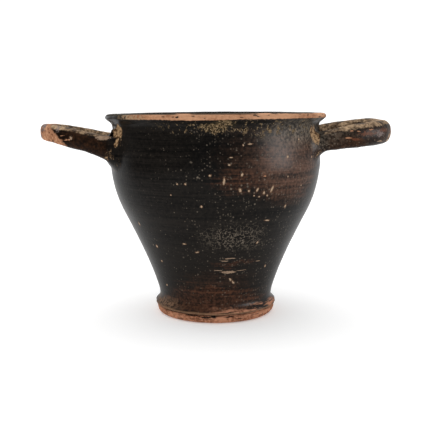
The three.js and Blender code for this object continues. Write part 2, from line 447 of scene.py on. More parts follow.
@dataclass
class Body:
    """The thrown body: a hollow wall with an everted lip, on a rounded foot with a groove cut into it.

    The taper's points are shares of the rise and of the widening from the stem to the shoulder. The foot's
    are a radius and a height, from the standing ring's outer edge over the groove to the stem.
    """

    height: float

    neck_radius: float = 51.0
    neck_drop: float = 8.5
    shoulder_radius: float = 52.15
    shoulder_drop: float = 22.0
    stem_radius: float = 28.25
    taper: tuple[Point, ...] = (
        (0.06, 0.02), (0.143, 0.096), (0.257, 0.223), (0.4, 0.408),
        (0.543, 0.611), (0.686, 0.815), (0.8, 0.925), (0.914, 0.986),
    )

    lip_radius: float = 54.7
    lip_depth: float = 4.4
    lip_root_radius: float = 51.7
    lip_crown: Point = (1.7, 1.4)
    lip_under_turn: float = 40.0
    lip_thickness: float = 5.5
    lip_inner: Point = (1.3, 1.6)
    lip_dome: float = 0.15
    lip_rise: float = 0.4
    lip_wave: float = 0.2

    wall: float = 4.0
    floor_height: float = 9.4
    bowl_height: float = 9.0
    bowl: tuple[Point, ...] = ((0, 0), (0.4, 0.03), (0.7, 0.16), (0.9, 0.45))

    foot_radius: float = 30.4
    foot_height: float = 7.7
    groove_level: float = 4.15
    foot_line: tuple[Point, ...] = (
        (25.9, 0), (27.9, 0.2), (29.1, 0.95), (29.75, 2.1), (29.8, 3.2), (29.5, 3.85), (29.1, 4.15),
        (29.9, 4.4), (30.5, 4.85), (30.55, 5.6), (30.05, 6.4), (29.3, 7.05), (28.7, 7.8),
    )
    foot_fillet: float = 1.2
    standing_inner: float = 23.7
    recess_depth: float = 3.2
    recess_slope: float = 1.8
    recess_nipple: float = 0.5

    turns: int = 256
    base_radius: float = 30.0
    recess_spacing: float = 1.6
    recess_side_spacing: float = 0.7
    ring_spacing: float = 1.2
    foot_spacing: float = 0.3
    wall_spacing: float = 0.9
    lip_spacing: float = 0.45
    crown_spacing: float = 0.3
    mouth_spacing: float = 0.4
    inside_spacing: float = 2.0
    bowl_spacing: float = 1.8

    unevenness: float = 0.12
    hand_grain: float = 30.0
    outer_ridges: float = 0.06
    inner_ridges: float = 0.16
    wheel_grain: Point = (120.0, 4.5)
    uneven_above: Point = (0.4, 3.0)
    rim_wear: float = 0.3
    foot_wear: float = 0.3
    wear_grain: Point = (6.5, 5.0)
    wear_share: Point = (0.38, 0.72)
    rim_worn_below_top: Point = (3.4, 2.0)
    rim_worn_beyond: Point = (51.0, 52.5)
    foot_worn_below_stem: Point = (0.4, 1.4)
    foot_worn_above: Point = (0.05, 1.0)

    def wall_line(self) -> list[Point]:
        """The wall's outside, from the stem up to the lip's underside."""
        shoulder = self.height - self.shoulder_drop
        rise, widening = shoulder - self.foot_height, self.shoulder_radius - self.stem_radius
        taper = [(self.stem_radius + out * widening, self.foot_height + up * rise) for up, out in self.taper]
        neck = (self.neck_radius, self.height - self.neck_drop)
        lip = (self.lip_root_radius, self.height - self.lip_depth)
        stem = (self.stem_radius, self.foot_height)
        return spline([stem, *taper, (self.shoulder_radius, shoulder), neck, lip])

    def radius_at(self, level: float) -> float:
        """Measures the wall.

        Args:
            level: The height at which it is measured.

        Returns:
            The outer radius there, or the lip's or foot's where the wall has ended.
        """
        if level < self.foot_height:
            return self.foot_radius
        line = self.wall_line()
        for (inner, low), (outer, high) in zip(line, line[1:]):
            if low <= level <= high:
                return inner + (outer - inner) * (level - low) / (high - low)
        return self.lip_radius

    def underside(self) -> Lines:
        """The hollow under the cup and the ring that it stands on, as lines with their spacing."""
        outer, inner = self.foot_line[0][0], self.standing_inner
        ceiling = inner - self.recess_slope
        depth, nipple = self.recess_depth, self.recess_nipple
        hollow = spline([(0, depth - nipple), (0.35 * ceiling, depth - 0.4 * nipple), (0.8 * ceiling, depth)])
        side = spline([(ceiling, depth), (inner - 0.3 * self.recess_slope, 0.4 * depth), (inner, 0)])
        return [
            ([*hollow, (ceiling, depth)], self.recess_spacing),
            (side, self.recess_side_spacing),
            ([(inner, 0), (outer, 0)], self.ring_spacing),
        ]

    def lip(self) -> Lines:
        """The everted lip, from its underside over its top to the mouth."""
        wide, tall = self.lip_crown
        crown = arc((self.lip_radius - wide, self.height - tall), wide, tall, -self.lip_under_turn, 90)
        mouth = self.lip_radius - self.lip_thickness
        inner_wide, inner_tall = self.lip_inner
        inner = arc((mouth + inner_wide, self.height - inner_tall), inner_wide, inner_tall, 90, 180)
        middle = ((crown[-1][0] + inner[0][0]) / 2, self.height + self.lip_dome)
        top = spline([crown[-1], middle, inner[0]])
        under = [self.wall_line()[-1], crown[0]]
        edge = [(under, self.lip_spacing), (crown, self.crown_spacing)]
        return [*edge, (top, self.lip_spacing), (inner, self.mouth_spacing)]

    def inside(self) -> Lines:
        """The inner wall, one wall's thickness inside the outer one, and the bowl's floor."""
        line = self.wall_line()
        offset = []
        for (r0, z0), (r1, z1) in zip(line, line[1:]):
            length = math.dist((r0, z0), (r1, z1))
            offset.append((r0 - self.wall * (z1 - z0) / length, z0 + self.wall * (r1 - r0) / length))
        base = self.floor_height
        mouth = (self.lip_radius - self.lip_thickness, self.height - self.lip_inner[1])
        sides = [point for point in offset if base + self.bowl_height < point[1] < mouth[1] - 0.2]
        joint = sides[0]
        floor = [(out * joint[0], base + up * (joint[1] - base)) for out, up in self.bowl]
        bowl = spline([*floor, joint])[::-1]
        return [([mouth, *reversed(sides)], self.inside_spacing), (bowl, self.bowl_spacing)]

    def section(self) -> Mesh:
        """The half section from the underside's middle round to the floor's middle, as a line of edges."""
        above = [point for point in self.wall_line() if point[1] > self.foot_height + self.foot_fillet]
        foot = (spline([*self.foot_line, above[0]]), self.foot_spacing)
        outside = [*self.underside(), foot, (above, self.wall_spacing), *self.lip()]
        points, inner = [], []
        for lines, side in ((outside, 0.0), (self.inside(), 1.0)):
            for line, spacing in lines:
                spread = evenly(line, spacing)
                fresh = spread[1:] if points else spread
                points += fresh
                inner += [side] * len(fresh)
        mesh = outline("half_section", [(r - self.base_radius, z, 0) for r, z in points])
        mesh.attributes.new("inner", "FLOAT", "POINT").data.foreach_set("value", inner)
        return mesh

    def settle(self, tree: ShapeTree, shape: Wire) -> Wire:
        """Gives the turned form a potter's unevenness.

        Args:
            tree: The tree that makes it.
            shape: The form as it is turned.

        Returns:
            The form with soft wheel ridges and a lip that isn't level.
        """
        place = tree.millimetres()
        x, y, z = tree.parts(place)
        share = (z / self.height) ** 3.0
        lean = tree.size("Lip rise", self.lip_rise * MM) * x / self.lip_radius
        spread = (y * y - x * x) / (x * x + y * y + 1.0)
        lift = (lean + tree.size("Lip wave", self.lip_wave * MM) * spread) * share
        inner = tree.attribute("inner")
        outer_ridges = tree.size("Outer ridges", self.outer_ridges * MM)
        ridges = tree.blend(inner, outer_ridges, tree.size("Inner ridges", self.inner_ridges * MM))
        hand = (tree.noise(place, self.hand_grain) - 0.5) * tree.size("Unevenness", self.unevenness * MM)
        wheel = (tree.noise(place, *self.wheel_grain) - 0.5) * ridges
        swell = (hand + wheel) * 2.0 * tree.ramp(z, *self.uneven_above)
        along = tree.vectors("SCALE", tree.form("InputNormal"), swell)
        return tree.moved(shape, tree.vectors("ADD", along, tree.vector(0.0, 0.0, lift)))

    def wear(self, tree: ShapeTree, shape: Wire) -> Wire:
        """Rubs down the lip's outer edge and the foot's rolls, unevenly.

        Args:
            tree: The tree that makes it.
            shape: The form before it was used.

        Returns:
            The worn form.
        """
        place = tree.millimetres()
        x, y, z = tree.parts(place)
        radius = (x * x + y * y) ** 0.5
        near_top = [self.height - drop for drop in self.rim_worn_below_top]
        near_stem = [self.foot_height - drop for drop in self.foot_worn_below_stem]
        at_rim = tree.ramp(z, *near_top) * tree.ramp(radius, *self.rim_worn_beyond)
        at_foot = tree.ramp(z, *near_stem) * tree.ramp(z, *self.foot_worn_above)
        rim = at_rim * tree.ramp(tree.noise(place, self.wear_grain[0]), *self.wear_share)
        foot = at_foot * tree.ramp(tree.noise(place, self.wear_grain[1]), *self.wear_share)
        rim_wear = tree.size("Rim wear", self.rim_wear * MM)
        foot_wear = tree.size("Foot wear", self.foot_wear * MM)
        return tree.grown(shape, 0.0 - (rim * rim_wear + foot * foot_wear))

    def turned(self, finish: Material) -> Object:
        """Turns the half section on the wheel and finishes the form by hand.

        Args:
            finish: The cup's finish.

        Returns:
            The body without its loops.
        """
        tree = ShapeTree("turn_on_the_wheel")
        turns, radius = tree.size("Turns", self.turns), tree.size("Base radius", self.base_radius * MM)
        ring = tree.form("CurvePrimitiveCircle", {"Resolution": turns, "Radius": radius})
        swept = tree.form("CurveToMesh", {"Curve": ring, "Profile Curve": tree.curve(tree.entry["Geometry"])})
        closed = tree.form("MergeByDistance", {"Geometry": swept, "Distance": 0.01 * MM})
        upright = tree.form("Transform", {"Geometry": closed, "Rotation": (math.pi, 0, 0)})
        return tree.run(self.section(), self.wear(tree, self.settle(tree, upright)), finish, "turned_body")


@dataclass
class Loop:
    """One loop handle: a bar bent round into a flat loop and luted on at both roots."""

    name: str
    side: int
    reach: float
    drop: float
    root_drop: float
    arch: float
    roll: float
    tall: float
    wide: float
    tip: float
    flare: float
    corners: float

    angle: float = 21.5
    end_length: float = 22.0
    end_spread: float = 19.4
    depth_in_wall: float = 0.6
    clear: float = 0.6
    flare_length: float = 12.0
    upper_fillet: float = 2.6
    lower_fillet: float = 5.0
    fillet_turn: Point = (0.3, -0.7)
    unevenness: float = 0.55
    hand_grain: float = 13.0
    grain: float = 0.2
    grain_size: float = 3.2
    rings: int = 190
    sides: int = 44

    def route(self, body: Body) -> Mesh:
        """Lays out the bar's centre line, from one root inside the wall round to the other.

        Args:
            body: The sizes of the body that it is luted on.

        Returns:
            The line, as a mesh of edges.
        """
        angle = math.radians(self.angle)
        start = body.shoulder_radius - self.depth_in_wall * body.wall
        leave = body.shoulder_radius + self.clear
        plan = [(radius * math.cos(angle), radius * math.sin(angle)) for radius in (start, leave)]
        plan += arc((self.reach - self.end_length, 0), self.end_length, self.end_spread, 90, 0, 4)
        root = (body.shoulder_radius - body.wall) * math.cos(angle)
        nearest = plan[1][0]
        tip_height = body.height - self.drop
        points = []
        for across, line in ((-1, plan), (1, list(reversed(plan[:-1])))):
            for out, spread in line:
                share = (max(out, nearest) - root) / (self.reach - root)
                level = tip_height - self.root_drop * (1 - share) ** self.arch + self.roll * across * spread
                points.append((self.side * out, across * spread, level))
        return outline(f"{self.name}_route", points)

    def bar_section(self) -> Object:
        """The bar's rounded section, as a closed line of edges."""
        points = []
        for i in range(self.sides):
            turn = math.tau * i / self.sides
            way = (math.cos(turn), math.sin(turn))
            out, up = (math.copysign(abs(part) ** (2 / self.corners), part) for part in way)
            points.append((out * self.wide / 2, up * self.tall / 2, 0))
        name = f"{self.name}_section"
        return placed(name, outline(name, points, closed=True))

    def thickness(self, tree: ShapeTree) -> Wire:
        """The bar's size along its length: swollen at both roots, and changing evenly to the tip."""
        along = tree.node("GeometryNodeSplineParameter")
        share, length = along["Factor"], along["Length"]
        to_root = length.least(tree.form("SplineLength") - length)
        near = (1.0 - to_root / tree.size("Flare length", self.flare_length * MM)).most(0.0)
        flare = near * near * tree.size("Root flare", self.flare) + 1.0
        to_tip = tree.maths("SINE", share * math.pi)
        return flare * tree.blend(to_tip, 1.0, tree.size("Tip size", self.tip))

    def fillet(self, tree: ShapeTree, shape: Wire, body: Wire) -> Wire:
        """Draws the clay out over the wall at each root, further below than above.

        Args:
            tree: The tree that makes it.
            shape: The bar.
            body: The wall that it meets.

        Returns:
            The bar with its roots worked on.
        """
        facing = tree.parts(tree.form("InputNormal"))[2]
        upper = tree.size("Upper fillet", self.upper_fillet * MM)
        lower = tree.size("Lower fillet", self.lower_fillet * MM)
        reach = tree.blend(tree.ramp(facing, *self.fillet_turn), upper, lower)
        near = (1.0 - tree.distance(body) / reach).most(0.0)
        return tree.grown(shape, reach * (1.0 - (1.0 - near * near) ** 0.5))

    def pulled(self, body: Body, wall: Object, finish: Material) -> Object:
        """Pulls the bar along its route and works its roots onto the wall.

        Args:
            body: The sizes of the body that it is luted on.
            wall: The turned body.
            finish: The cup's finish.

        Returns:
            The loop.
        """
        tree = ShapeTree(f"pull_the_{self.name}")
        line = tree.curve(tree.entry["Geometry"])
        smooth = tree.form("CurveSplineType", {"Curve": line}, spline_type="CATMULL_ROM")
        rings = tree.size("Rings", self.rings)
        even = tree.form("ResampleCurve", {"Curve": smooth, "Count": rings}, mode="COUNT")
        level = tree.form("SetCurveNormal", {"Curve": even}, mode="Z_UP")
        section = self.bar_section()
        profile = tree.curve(tree.other("Section", section))
        inputs = {"Curve": level, "Profile Curve": profile, "Scale": self.thickness(tree), "Fill Caps": True}
        bar = tree.form("CurveToMesh", inputs)
        place = tree.millimetres()
        unevenness = tree.size("Unevenness", self.unevenness * MM)
        hand = (tree.noise(place, self.hand_grain, detail=1.0) - 0.5) * unevenness
        grain = (tree.noise(place, self.grain_size) - 0.5) * tree.size("Grain", self.grain * MM)
        bar = self.fillet(tree, tree.grown(bar, (hand + grain) * 2.0), tree.other("Wall", wall))
        loop = tree.run(self.route(body), bar, finish, self.name)
        bpy.data.objects.remove(section)
        return loop


class Join(Enum):
    """How two shapes are combined."""

    UNITE = "UNION"
    CUT = "DIFFERENCE"


@dataclass(frozen=True)
class ChipBand:
    """A run of small breaks along a turned edge, between two azimuths and between two sizes."""

    count: int
    start: float
    end: float
    radius: float
    level: float
    smallest: float
    largest: float
    seed: int


@dataclass
class Cup:
    """The whole skyphos: body and loops made one, then worn and chipped."""

    body: Body
    loops: tuple[Loop, ...]
    chips: tuple[ChipBand, ...]

    weld_reach: float = 2.4
    weld_rounds: int = 14
    weld_mark_reach: float = 5.0
    chip_rings: int = 4
    chip_roughness: float = 0.35
    chip_grain: float = 0.8
    chip_scatter: Point = (0.4, 0.5)
    sharp_edge: float = 38.0
    skin: float = 0.02

    def joined(self, tree: ShapeTree, join: Join, first: Wire, others: list[Wire]) -> Wire:
        """Unites shapes or cuts the others from the first."""
        inputs = {"Mesh 2": [first, *others]} if join is Join.UNITE else {"Mesh 1": first, "Mesh 2": others}
        return tree.form("MeshBoolean", inputs, operation=join.value, solver="MANIFOLD")

    def welded(self, tree: ShapeTree, shape: Wire, gap: Wire) -> Wire:
        """Smooths the clay where a loop meets the wall.

        Args:
            tree: The tree that makes it.
            shape: The united cup.
            gap: How far each point is from the wall and the loops together.

        Returns:
            The cup with its joins smoothed.
        """
        weight = tree.ramp(gap, self.weld_reach * MM, 0.0)
        rounds = tree.size("Weld rounds", self.weld_rounds)
        inputs = {"Value": tree.form("InputPosition"), "Iterations": rounds, "Weight": weight}
        soft = tree.form("BlurAttribute", inputs, data_type="FLOAT_VECTOR")
        return tree.form("SetPosition", {"Geometry": shape, "Position": soft})

    def chipped(self, tree: ShapeTree, shape: Wire) -> Wire:
        """Knocks small irregular pieces off the edges.

        Args:
            tree: The tree that makes it.
            shape: The unbroken cup.

        Returns:
            The chipped cup.
        """
        ball = tree.form("MeshIcoSphere", {"Radius": MM, "Subdivisions": self.chip_rings})
        grain = tree.noise(tree.millimetres(), self.chip_grain)
        rough = (grain - 0.5) * (2 * self.chip_roughness * MM)
        lump = tree.grown(ball, rough)
        aside, upward = (reach * MM for reach in self.chip_scatter)
        for number, band in enumerate(self.chips, 1):
            spans = [(math.radians(band.start), math.radians(band.end)), (-aside, aside), (-upward, upward)]
            spans += [(band.smallest, band.largest)] * 3 + [(0.0, math.tau)] * 3
            turn, off, rise, *rest = (tree.random(*span, band.seed + i) for i, span in enumerate(spans))
            out = tree.size(f"Chips {number} radius", band.radius * MM) + off
            level = tree.size(f"Chips {number} level", band.level * MM) + rise
            x, y = (out * tree.maths(operation, turn) for operation in ("SINE", "COSINE"))
            count = tree.size(f"Chips {number} count", band.count)
            inputs = {
                "Points": tree.form("Points", {"Count": count, "Position": tree.vector(x, y * -1.0, level)}),
                "Instance": lump,
                "Scale": tree.vector(*rest[:3]),
                "Rotation": tree.vector(*rest[3:]),
            }
            shape = self.joined(tree, Join.CUT, shape, [tree.form("InstanceOnPoints", inputs)])
        return shape

    def faceted(self, tree: ShapeTree, shape: Wire) -> Wire:
        """Shades the form smooth, and leaves only its broken and turned edges sharp.

        Args:
            tree: The tree that makes it.
            shape: The chipped cup.

        Returns:
            The same shape, shaded.
        """
        soft = tree.form("SetShadeSmooth", {"Geometry": shape}, domain="FACE")
        limit = tree.size("Sharp edge", math.radians(self.sharp_edge))
        inputs = {"A": tree.form("InputMeshEdgeAngle"), "B": limit}
        sharp = tree.wire("FunctionNodeCompare", inputs, data_type="FLOAT", operation="GREATER_THAN")
        inputs = {"Geometry": soft, "Selection": sharp, "Shade Smooth": False}
        return tree.form("SetShadeSmooth", inputs, domain="EDGE")

    def made(self, finish: Material) -> Object:
        """Makes the cup in one piece.

        Args:
            finish: The cup's finish.

        Returns:
            The cup, which carries the attributes that its finish reads.
        """
        wall = self.body.turned(finish)
        bars = [loop.pulled(self.body, wall, finish) for loop in self.loops]
        tree = ShapeTree("lute_and_wear")
        shapes = [tree.other(bar.name, bar) for bar in bars]
        body = tree.entry["Geometry"]
        inputs = {"Geometry": body, "Selection": tree.attribute("inner")}
        hollow = tree.form("SeparateGeometry", inputs, domain="POINT")
        gap = tree.distance(body) + tree.distance(tree.form("JoinGeometry", {"Geometry": shapes}))
        cup = self.joined(tree, Join.UNITE, body, shapes)
        cup = tree.keep(cup, "root", tree.ramp(gap, self.weld_mark_reach * MM, 0.0))
        whole = self.welded(tree, cup, gap)
        cup = self.chipped(tree, whole)
        skin = self.skin * MM
        cup = tree.keep(cup, "broken", tree.ramp(tree.distance(whole), skin, 5 * skin))
        cup = tree.keep(cup, "inner", tree.ramp(tree.distance(hollow), 10 * skin, skin))
        cup = tree.run(wall.data, self.faceted(tree, cup), finish, "skyphos_cup")
        for spare in [wall, *bars]:
            bpy.data.objects.remove(spare)
        return cup


@dataclass(frozen=True)
class Coat:
    """One covering of the clay, from its darkest tone to its lightest."""

    dark: Point3
    light: Point3
    roughness: float
    rise: float = 0.0


BLACK_SLIP = Coat((0.0035, 0.0032, 0.003), (0.0145, 0.012, 0.01), 0.3)
BROWN_SLIP = Coat((0.015, 0.007, 0.0038), (0.125, 0.061, 0.038), 0.38)
RED_SLIP = Coat((0.02, 0.008, 0.004), (0.125, 0.05, 0.026), 0.45)
HANDLE_SLIP = Coat((0.007, 0.0035, 0.002), (0.043, 0.018, 0.008), 0.42)
CLAY = Coat((0.26, 0.105, 0.05), (0.55, 0.295, 0.17), 0.85, -0.05)
FOOT_CLAY = Coat((0.18, 0.065, 0.032), (0.56, 0.26, 0.15), 0.85, -0.05)
RUBBED_CLAY = Coat((0.1, 0.05, 0.025), (0.38, 0.22, 0.13), 0.75, -0.02)
OLIVE_STAIN = Coat((0.008, 0.006, 0.003), (0.055, 0.042, 0.02), 0.8)
OLIVE_CRUST = Coat((0.03, 0.018, 0.008), (0.36, 0.25, 0.135), 0.9, 0.12)
TAN_CRUST = Coat((0.085, 0.046, 0.022), (0.52, 0.36, 0.22), 0.92, 0.08)
OCHRE_STREAK = Coat((0.085, 0.042, 0.018), (0.52, 0.33, 0.175), 0.92, 0.02)
DUST = Coat((0.05, 0.04, 0.03), (0.34, 0.28, 0.215), 0.8)
CREAM_FLECK = Coat((0.27, 0.17, 0.1), (0.66, 0.5, 0.35), 0.9)
TAN_CHIP = Coat((0.16, 0.1, 0.065), (0.48, 0.34, 0.235), 0.9)
GREY_WORN = Coat((0.09, 0.065, 0.058), (0.29, 0.22, 0.2), 0.6)
RED_PATCH = Coat((0.03, 0.01, 0.005), (0.2, 0.068, 0.03), 0.5)


class Fleck(Enum):
    """What shows at a small mark."""

    CREAM = CREAM_FLECK
    ORANGE = CLAY
    TAN = TAN_CHIP
    GREY = GREY_WORN
    SLIP = BLACK_SLIP
    RED = RED_PATCH


@dataclass(frozen=True)
class Mark:
    """A small place on the wall: its azimuth and height, its half sizes and how far it leans."""

    azimuth: float
    level: float
    wide: float
    tall: float
    lean: float = 0.0


@dataclass(frozen=True)
class LoopMark:
    """A small place on a loop: its X, Y and height, and its half sizes along X and upwards."""

    x: float
    y: float
    level: float
    wide: float
    tall: float


Rows = dict[Fleck, tuple[tuple[float, ...], ...]]
WALL_FLECKS: Rows = {
    Fleck.CREAM: (
        (4.2, 71.1, 0.48, 1.5, 4), (12.3, 66.9, 0.6, 0.85, -20), (17.0, 66.3, 0.5, 0.5),
        (21.3, 66.6, 0.5, 0.95, 25), (25.4, 65.1, 0.5, 0.75), (29.8, 66.7, 0.55, 1.45, 15),
        (38.6, 80.8, 0.6, 0.55), (-15.0, 69.5, 0.45, 0.5), (-19.2, 69.4, 0.35, 0.4),
        (-23.0, 64.3, 0.3, 0.3), (13.0, 73.6, 0.45, 0.7, 20), (-2.6, 73.7, 0.6, 0.4),
        (39.2, 72.2, 0.4, 0.4), (51.0, 67.3, 0.4, 0.4), (13.6, 86.6, 0.4, 0.4), (17.2, 87.0, 1.0, 0.3),
        (7.0, 78.1, 0.6, 0.3), (7.5, 81.5, 0.7, 0.25), (20.0, 64.0, 0.4, 0.3), (23.0, 63.4, 0.5, 0.3),
        (27.5, 63.9, 0.45, 0.35), (-7.2, 59.2, 0.55, 0.5, 30), (41.3, 58.1, 0.55, 0.7),
        (31.0, 52.0, 1.3, 0.3), (-12.8, 36.8, 0.8, 0.35, -20), (-21.1, 40.6, 0.8, 0.3),
        (-45.6, 37.7, 0.5, 0.7), (-55.7, 47.9, 0.4, 0.8), (-46.7, 29.8, 0.4, 0.5),
        (-52.0, 16.7, 0.5, 0.5), (44.0, 27.5, 0.5, 0.5), (28.4, 41.1, 0.5, 0.6, 30),
        (10.2, 26.5, 2.6, 0.45), (12.5, 22.5, 0.4, 0.9, -35), (15.1, 20.9, 0.4, 0.9, -35),
        (48.0, 88.5, 0.6, 0.5), (60.0, 80.0, 0.5, 0.5), (-160.0, 62.0, 0.6, 1.1, 10),
        (150.0, 74.0, 0.7, 0.6), (-128.0, 45.0, 0.5, 0.6), (172.0, 38.0, 1.2, 0.4),
        (118.0, 57.0, 0.5, 0.5), (-105.0, 70.0, 0.5, 0.9, -15),
    ),
    Fleck.ORANGE: ((25.0, 72.8, 0.8, 0.5),),
    Fleck.TAN: (
        (10.5, 26.4, 3.6, 0.9), (21.5, 27.0, 3.0, 0.16), (2.0, 27.3, 2.6, 0.2),
        (11.0, 33.6, 3.4, 0.3), (6.5, 32.4, 2.2, 0.25), (34.0, 31.0, 1.6, 0.25),
    ),
    Fleck.SLIP: (
        (-17.5, 98.5, 0.9, 0.6), (-8.0, 3.5, 5.6, 0.6), (-1.5, 3.7, 1.7, 0.9),
        (-21.0, 3.85, 4.5, 0.3), (14.0, 3.3, 2.6, 0.3), (23.0, 2.2, 3.2, 0.25),
    ),
}
LOOP_FLECKS: Rows = {
    Fleck.CREAM: ((83.8, -8, 87.2, 0.6, 1.0),),
    Fleck.ORANGE: (
        (62.7, -23, 88.4, 2.0, 0.45), (64.1, -23, 91.8, 1.0, 0.4), (67.3, -22, 91.6, 1.1, 0.35),
        (73.6, -18, 92.4, 1.4, 0.4), (79.2, -13, 91.9, 1.3, 0.4), (-70.0, -18, 87.6, 3.0, 0.5),
        (-72.5, -17, 89.6, 1.8, 0.25),
    ),
    Fleck.TAN: (
        (78.5, -13, 86.6, 2.4, 0.5), (84.5, -6, 89.3, 1.2, 1.8), (-53, -23, 88.7, 4.2, 1.3),
        (-68.2, -20, 88.4, 0.9, 1.1),
    ),
    Fleck.GREY: (
        (78.3, -14, 90.6, 3.2, 2.2), (-83.2, -8, 93.6, 1.6, 2.4), (-85.4, -6, 88.6, 1.0, 1.6),
        (-75.0, -15, 92.3, 1.4, 1.6),
    ),
    Fleck.RED: ((71.5, -19, 90.6, 5.0, 1.3), (80.5, -12, 92.0, 3.4, 1.1), (66.0, -21, 88.0, 3.4, 0.9)),
}
ROOT_STREAKS = (
    Mark(-62.5, 91.2, 4.4, 3.9),
    Mark(-61.0, 86.5, 1.2, 3.6),
    Mark(64.0, 89.4, 2.9, 6.0),
    Mark(61.0, 91.5, 1.4, 3.6),
    Mark(113.0, 88.0, 2.4, 5.0),
    Mark(-113.0, 86.0, 2.4, 6.0),
)


@dataclass
class Finish(Graph):
    """The cup's surface: slip, misfired streaks, bare clay, crusts and flecks, laid one over the other."""

    body: Body

    index_of_slip: float = 1.145
    warp_grain: float = 7.0
    warp_reach: float = 5.0
    steady_share: float = 0.14
    mark_depth: float = 4.0
    streak_depth: float = 3.6
    loop_mark_depth: float = 8.0
    streak_relief: float = 0.03
    grit_relief: float = 0.03
    mottle_relief: float = 0.05

    def __post_init__(self) -> None:
        """Starts the material and reads the places and attributes that every layer uses."""
        self.material = bpy.data.materials.new(SLOT)
        self.material.use_nodes = True
        super().__init__(self.material.node_tree)
        coordinates = self.node("ShaderNodeTexCoord")
        self.place = self.vectors("SCALE", coordinates["Object"], 1 / MM)
        self.x, self.y, self.z = self.parts(self.place)
        self.radius = (self.x * self.x + self.y * self.y) ** 0.5
        facing = self.parts(coordinates["Normal"])
        self.facing_up = facing[2]
        # The loops' inward faces, which lie in shade; the tan of the tops is spread over them as painted
        # light.
        self.painted_light_inside_loop = self.ramp(facing[1] * self.y, -3.0, -9.0)
        self.inner, self.root, self.broken = (self.attribute(name) for name in ("inner", "root", "broken"))
        self.outside = 1.0 - self.inner
        self.streaks = self.noise(self.place, 70, 1.3, 3.0)
        self.fine_streaks = self.noise(self.place, 26, 0.42)
        self.mottle = self.noise(self.place, 1.3, detail=3.0)
        self.clouds = self.noise(self.place, 16)
        self.grit = self.noise(self.place, 0.55)
        shake = self.shake()
        self.warped_wall = self.unrolled(self.vectors("ADD", self.place, shake))
        self.steady = self.vectors("ADD", self.place, self.vectors("SCALE", shake, self.steady_share))
        self.steady_wall = self.unrolled(self.steady)
        self.speckle = self.ramp(self.mottle, 0.36, 0.64)
        self.colour: Wire | None = None
        self.roughness: Number = BLACK_SLIP.roughness
        self.relief: Number = 0.0

    def attribute(self, name: str) -> Wire:
        """A number that the shape carries at each point."""
        return self.node("ShaderNodeAttribute", attribute_name=name)["Fac"]

    def shake(self) -> Wire:
        """A random shift of each place, so that no patch keeps an even edge."""
        inputs = {"Vector": self.place, "Scale": 1 / self.warp_grain, "Detail": 3.0, "Roughness": 0.6}
        random = self.node("ShaderNodeTexNoise", inputs)["Color"]
        centred = self.vectors("SUBTRACT", random, (0.5, 0.5, 0.5))
        return self.vectors("SCALE", centred, 2 * self.warp_reach)

    def unrolled(self, place: Wire) -> Wire:
        """A place as its azimuth in radians, its distance from the axis and its height."""
        x, y, z = self.parts(place)
        return self.vector(self.maths("ARCTAN2", x, y * -1.0), (x * x + y * y) ** 0.5, z)

    def reach(self, place: Wire, centre: Point3, scale: Point3) -> Wire:
        """How far a place is from a centre, with each of its three numbers scaled."""
        away = tuple(-number * share for number, share in zip(centre, scale))
        inputs = {"Vector": place, "Vector_001": scale, "Vector_002": away}
        return self.vectors("LENGTH", self.wire("ShaderNodeVectorMath", inputs, operation="MULTIPLY_ADD"))

    def reach_on_wall(self, wall: Wire, mark: Mark, depth: float) -> Wire:
        """How far a place is from a mark.

        Args:
            wall: The place on the unrolled wall.
            mark: The mark.
            depth: How far it reaches into and off the wall, where it doesn't lean.

        Returns:
            The reach, which is 0 at the mark's middle and 1 at its edge.
        """
        radius, turn = self.body.radius_at(mark.level), math.radians(mark.azimuth)
        if not mark.lean:
            scale = (radius / mark.wide, 1 / depth, 1 / mark.tall)
            return self.reach(wall, (turn, radius, mark.level), scale)
        along, up = math.cos(math.radians(mark.lean)), math.sin(math.radians(mark.lean))
        squares = []
        for way in (
            (along * radius / mark.wide, 0.0, -up / mark.wide),
            (up * radius / mark.tall, 0.0, along / mark.tall),
        ):
            away = self.vectors("DOT_PRODUCT", wall, way) - (way[0] * turn + way[2] * mark.level)
            squares.append(away * away)
        return (squares[0] + squares[1]) ** 0.5

    def patch(self, azimuth: float, level: float, wide: float, tall: float, soft: float = 0.9) -> Wire:
        """A broad soft-edged area of the wall, from 0 to 1."""
        mark = Mark(azimuth, level, wide, tall)
        reach = self.reach_on_wall(self.warped_wall, mark, 8.0 + 0.8 * wide)
        return self.ramp(reach, 1 + soft / 2, 1 - soft)

    def dots(self, cell: float, least: float, most: float, density: Number = 0.6) -> Wire:
        """Scattered round specks.

        Args:
            cell: The size of the cells that hold one speck each.
            least: The smallest speck's radius.
            most: How much larger the largest is.
            density: How many of the cells have a large speck.

        Returns:
            The specks, from 0 to 1.
        """
        cells = self.node("ShaderNodeTexVoronoi", {"Vector": self.place, "Scale": 1 / cell})
        chance = self.parts(cells["Color"])[0]
        size = self.ramp(chance + density, 1.0, 1.6, 0.0, most / cell) + least / cell
        return self.ramp(cells["Distance"] / size, 1.2, 0.7)

    def lay(self, coat: Coat, mask: Number, tone: Wire) -> None:
        """Lays a coat over what is there.

        Args:
            coat: The covering.
            mask: Where it lies, from 0 to 1.
            tone: Where it is light rather than dark.
        """
        colour = self.tint(tone, (*coat.dark, 1), (*coat.light, 1))
        if self.colour is None:
            self.colour = colour
            return
        self.colour = self.tint(mask, self.colour, colour)
        self.roughness = self.blend(mask, self.roughness, coat.roughness)
        if coat.rise:
            self.relief = self.relief + mask * coat.rise

